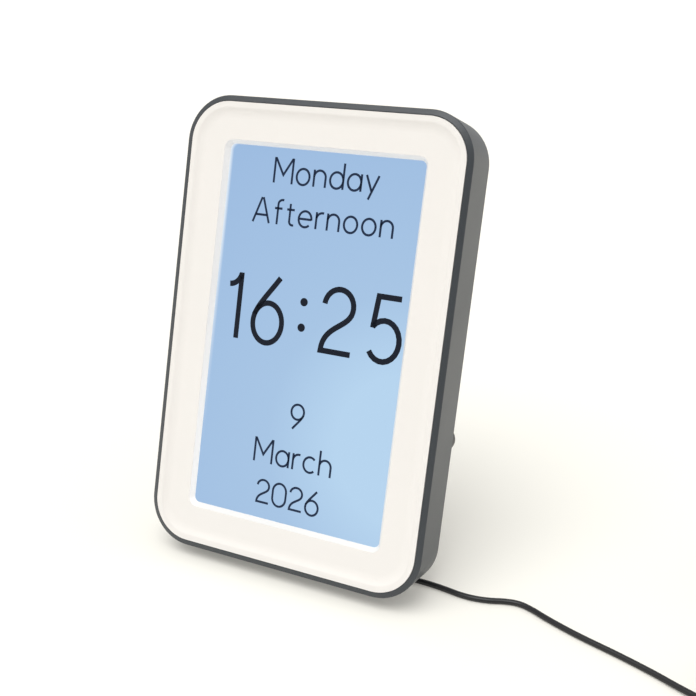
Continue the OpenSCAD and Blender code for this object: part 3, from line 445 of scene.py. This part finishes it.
# Each character's width and its strokes, for a capital of height 1. The colon is two round dots.
bowl = arc(0.28, 0.33, 0.28, 0.31, 0, 366, 40)
arch = arc(0.25, 0.38, 0.25, 0.26, 180, 0) + [(0.5, 0)]
zero = arc(0.3, 0.64, 0.3, 0.33, 0, 180) + arc(0.3, 0.36, 0.3, 0.33, 180, 360) + [(0.6, 0.66)]
two = (arc(0.275, 0.715, 0.265, 0.25, 176, -22)
       + bend((0.52, 0.621), (0.43, 0.42), (0.03, 0.40), (0.02, 0.045)) + [(0.57, 0.045)])
six = (bend((0.45, 1), (0.29, 0.79), (0.11, 0.61), (0.0375, 0.455))
       + arc(0.28, 0.305, 0.28, 0.30, 150, 520, 40))
characters = {
    "M": (0.80, [[(0, 0), (0, 1)], [(0.02, 0.98), (0.40, 0.33), (0.78, 0.98)],
                 [(0.80, 0), (0.80, 1)]]),
    "A": (0.74, [[(0, 0), (0.345, 1)], [(0.74, 0), (0.395, 1)], [(0.12, 0.31), (0.62, 0.31)]]),
    "a": (0.56, [bowl, [(0.56, 0), (0.56, 0.66)]]),
    "c": (0.50, [arc(0.28, 0.33, 0.28, 0.31, 46, 314, 28)]),
    "d": (0.56, [bowl, [(0.56, 0), (0.56, 1)]]),
    "e": (0.56, [[(0.02, 0.33), (0.56, 0.33)], arc(0.28, 0.33, 0.28, 0.31, -4, 314, 32)]),
    "f": (0.34, [arc(0.33, 0.80, 0.19, 0.17, 75, 180) + [(0.14, 0)], [(0, 0.63), (0.34, 0.63)]]),
    "h": (0.50, [[(0, 0), (0, 1)], arch]),
    "n": (0.50, [[(0, 0), (0, 0.66)], arch]),
    "o": (0.56, [bowl]),
    "r": (0.28, [[(0, 0), (0, 0.66)], arc(0.25, 0.38, 0.25, 0.26, 180, 76)]),
    "t": (0.34, [[(0.14, 0.86)] + arc(0.29, 0.18, 0.15, 0.15, 180, 290),
                 [(0, 0.63), (0.34, 0.63)]]),
    "y": (0.52, [[(0, 0.66), (0.275, 0.02)], [(0.52, 0.66), (0.15, -0.26)]]),
    "0": (0.60, [zero]),
    "1": (0.20, [arc(-0.02, 1.03, 0.22, 0.22, 270, 346, 8), [(0.2, 1), (0.2, 0)]]),
    "2": (0.55, [two]),
    "5": (0.56, [[(0.51, 0.955), (0.11, 0.955), (0.06, 0.497)],
                 arc(0.27, 0.325, 0.28, 0.295, 140, -146)]),
    "6": (0.56, [six]),
    "9": (0.56, [[(0.56 - x, 1 - y) for x, y in six]]),
}
dot_radius = 0.062
dot_heights = (0.323, 0.702)


def draw_strip(writing, points, wide):
    """One stroke: an edge across its start, extruded to each point and turned with each bend."""
    shortest = 1e-9
    sharpest = 0.4
    points = [Vector((x, y, 0)) for x, y in points]
    steps = [(a, b) for a, b in zip(points, points[1:]) if (b - a).length > shortest]
    ways = [(b - a).normalized() for a, b in steps]
    edge = None
    for i, point in enumerate([points[0]] + [b for a, b in steps]):
        before, after = ways[max(0, i - 1)], ways[min(i, len(ways) - 1)]
        way = (before + after).normalized()
        half = wide / 2 / max(sharpest, way.dot(after))
        across = Vector((-way.y, way.x, 0)) * half
        if edge is None:
            left = writing.verts.new(point + across)
            edge = writing.edges.new((left, writing.verts.new(point - across)))
            continue
        made = bmesh.ops.extrude_edge_only(writing, edges=[edge])["geom"]
        fresh = [v for v in made if isinstance(v, bmesh.types.BMVert)]
        edge = next(e for e in made
                    if isinstance(e, bmesh.types.BMEdge) and set(e.verts) == set(fresh))
        beside_left = {e.other_vert(left) for e in left.link_edges}
        left = next(v for v in fresh if v in beside_left)
        right = next(v for v in fresh if v is not left)
        left.co = point + across
        right.co = point - across


def write(writing, words, middle, baseline, tall, line_width, spacing, squeeze=1):
    """Draws a line of characters, centred, at a place on the display in millimetres."""
    wide = sum(characters[c][0] * squeeze for c in words if c != ":")
    wide += words.count(":") * 2 * dot_radius + spacing * (len(words) - 1)
    x = -wide / 2
    for character in words:
        if character == ":":
            for y in dot_heights:
                dot = bmesh.ops.create_circle(writing, cap_ends=True, segments=24,
                                              radius=dot_radius * tall)
                spot = (middle + (x + dot_radius) * tall, baseline + y * tall, 0)
                bmesh.ops.translate(writing, verts=dot["verts"], vec=spot)
            x += 2 * dot_radius + spacing
            continue
        width, strokes = characters[character]
        for stroke in strokes:
            points = [(middle + (x + px * squeeze) * tall, baseline + py * tall)
                      for px, py in stroke]
            draw_strip(writing, points, line_width)
        x += width * squeeze + spacing


def lay_on_display(writing, name, ink):
    """Turns finished writing into a piece that lies on the display's surface."""
    millimetre = 0.001
    ink_lift = 0.00004
    bmesh.ops.recalc_face_normals(writing, faces=writing.faces)
    bmesh.ops.scale(writing, verts=writing.verts, vec=(millimetre, millimetre, 1))
    for strip in writing.faces:
        if strip.normal.z < 0:
            strip.normal_flip()
    bmesh.ops.translate(writing, verts=writing.verts, vec=(0, 0, cell_level + ink_lift))
    bmesh.ops.transform(writing, matrix=leaning, verts=writing.verts)
    piece = bpy.data.objects.new(name, bpy.data.meshes.new(name))
    writing.to_mesh(piece.data)
    writing.free()
    scene.collection.objects.link(piece)
    piece.data.materials.append(ink)
    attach(piece, "clock")


date_lines = bmesh.new()
for words, middle, baseline, spacing in (
    ("Monday", 1.2, 61.7, 0.2),
    ("Afternoon", 1.4, 45.2, 0.21),
    ("9", 0.8, -36.0, 0.2),
    ("March", 0.7, -52.6, 0.2),
    ("2026", 0.4, -69.7, 0.18),
):
    write(date_lines, words, middle, baseline, tall=10.25, line_width=0.94, spacing=spacing)
navy = moulded("navy ink", (0.012, 0.024, 0.058), 0.4, drift=0.1, specular=0.15)
lay_on_display(date_lines, "display_text", navy)
time_line = bmesh.new()
write(time_line, "16:25", 2.2, -3.4, tall=27.3, line_width=2.3, spacing=0.27, squeeze=0.88)
black = moulded("black ink", (0.007, 0.010, 0.019), 0.4, drift=0.1, specular=0.15)
lay_on_display(time_line, "display_time", black)

# ---- Electronics ----
# Glass-fibre boards with green solder mask, their chips, sockets and screws, the backup cell, the
# speaker behind the grille, the power jack and the leads between them.
mask = moulded("green solder mask", (0.012, 0.085, 0.04), 0.3,
               grain=0.0015, depth=0.00004, drift=0.3)
finish_node("main_board", mask)
finish_node("key_board", mask)
finish_node("board_chips", moulded("chip epoxy", (0.02, 0.02, 0.022), 0.55, drift=0.15))
finish_node("key_switches", moulded("switch housing", (0.022, 0.022, 0.024), 0.5, drift=0.15))
finish_node("ribbon_connector", moulded("ivory nylon", (0.72, 0.67, 0.55), 0.45))
finish_node("display_ribbon", moulded("amber polyimide", (0.42, 0.17, 0.035), 0.25, drift=0.12))
finish_node("key_cable", moulded("flat cable", (0.55, 0.53, 0.46), 0.45, grain=0.001, drift=0.1))
finish_node("speaker_lead", moulded("red insulation", (0.34, 0.03, 0.02), 0.4))
finish_node("coin_cell", metal("stainless can", (0.56, 0.565, 0.57), 0.24, stretch=(1, 0.1, 0.1)))
finish_node("cell_holder", moulded("holder nylon", (0.02, 0.02, 0.022), 0.5))
cone = moulded("speaker cone and frame", (0.016, 0.016, 0.018), 0.7, grain=0.0012, depth=0.0001)
finish_node("speaker", cone)
finish_node("power_jack", moulded("jack nylon", (0.015, 0.015, 0.016), 0.4))
finish_node("jack_contact", metal("gilt contact", (0.72, 0.55, 0.26), 0.2))
finish_node("board_screws", zinc)

# ---- Rear cover ----
# A flat slate grey moulding with the stand's recess, two keyholes, vents, the speaker's grille and
# six sunk cross-head screws.
rear_slate = moulded("slate rear plastic", (0.040, 0.045, 0.048), 0.5,
                     grain=0.0007, depth=0.00006, drift=0.06)
softened("rear_cover", "back_cover", 0.00025, rear_slate, segments=2)
finish_node("cover_screws", metal("black oxide screws", (0.11, 0.11, 0.115), 0.35))

# ---- Buttons ----
# Four round push buttons of white ABS, in a row up the back. Each has a flange inside the cover
# that stops it.
button_white = moulded("button plastic", (0.76, 0.74, 0.70), 0.4, drift=0.02)
for name in ("menu", "up", "down", "set"):
    softened("button_" + name, name + "_button", 0.0003, button_white,
             body="button_" + name)

# ---- Stand and feet ----
# The leg is ribbed on its inner side and swings on a steel pin between two ears of the cover. A
# rubber pad ends it, and two rubber wedges carry the casing.
softened("stand_leg", "stand_arm", 0.00025, rear_slate, body="stand", segments=2)
rubber = moulded("black rubber", (0.014, 0.014, 0.015), 0.75,
                 grain=0.0004, depth=0.00008, drift=0.1)
softened("stand_foot", "stand_pad", 0.0003, rubber, body="stand")
softened("rubber_feet", "wedge_feet", 0.0003, rubber)
finish_node("stand_pin", metal("ground pin", (0.46, 0.47, 0.48), 0.2, stretch=(0.05, 1, 1)))

# ---- Floor and light ----
# A white table under one large overhead softbox, in a bright even room that is darker only where
# the camera stands. The camera and glossy surfaces see the table through a slight haze, which
# keeps its shadow and takes away its grey.
floor = bpy.data.objects.new("floor", bpy.data.meshes.new("floor"))
sheet = bmesh.new()
bmesh.ops.create_grid(sheet, x_segments=1, y_segments=1, size=6)
sheet.to_mesh(floor.data)
sheet.free()
scene.collection.objects.link(floor)
paper, tree, shader = new_material("white table")
tree.nodes.remove(shader)
lit = tree.nodes.new("ShaderNodeBsdfDiffuse")
lit.inputs["Color"].default_value = (0.85, 0.845, 0.83, 1)
seen = tree.nodes.new("ShaderNodeBsdfDiffuse")
seen.inputs["Color"].default_value = (0.76, 0.745, 0.69, 1)
haze = tree.nodes.new("ShaderNodeEmission")
haze.inputs["Color"].default_value = (0.21, 0.205, 0.19, 1)
hazy = tree.nodes.new("ShaderNodeAddShader")
tree.links.new(seen.outputs["BSDF"], hazy.inputs[0])
tree.links.new(haze.outputs["Emission"], hazy.inputs[1])
rays = tree.nodes.new("ShaderNodeLightPath").outputs
seen_or_mirrored = calculated(tree, "MAXIMUM", rays["Is Camera Ray"], rays["Is Glossy Ray"])
table_surface = tree.nodes.new("ShaderNodeMixShader")
tree.links.new(seen_or_mirrored, table_surface.inputs["Fac"])
tree.links.new(lit.outputs["BSDF"], table_surface.inputs[1])
tree.links.new(hazy.outputs["Shader"], table_surface.inputs[2])
tree.links.new(table_surface.outputs["Shader"], tree.nodes["Material Output"].inputs["Surface"])
floor.data.materials.append(paper)

world = bpy.data.worlds.new("studio")
scene.world = world
world.use_nodes = True
tree = world.node_tree
sky = tree.nodes["Background"]
sky.inputs["Color"].default_value = (1, 1, 1, 1)
way = tree.nodes.new("ShaderNodeTexCoord").outputs["Generated"]
camera_side = measured(tree, "DOT_PRODUCT", way, (0.42, -0.90, 0.12))
room = mapped(tree, camera_side, low=0.72, high=1, at_low=0.75, at_high=0.1)
rays = tree.nodes.new("ShaderNodeLightPath").outputs
level = tree.nodes.new("ShaderNodeMix")
level.inputs["B"].default_value = 1
tree.links.new(room, level.inputs["A"])
tree.links.new(rays["Is Camera Ray"], level.inputs["Factor"])
tree.links.new(level.outputs["Result"], sky.inputs["Strength"])

softbox = bpy.data.objects.new("overhead softbox", bpy.data.lights.new("overhead softbox", "SUN"))
softbox.data.energy = 1.7
softbox.data.angle = math.radians(45)
softbox.rotation_mode = "QUATERNION"
softbox.rotation_quaternion = Vector((0.05, 0.4, -0.92)).to_track_quat("-Z", "Y")
scene.collection.objects.link(softbox)
scene.view_settings.view_transform = "Standard"
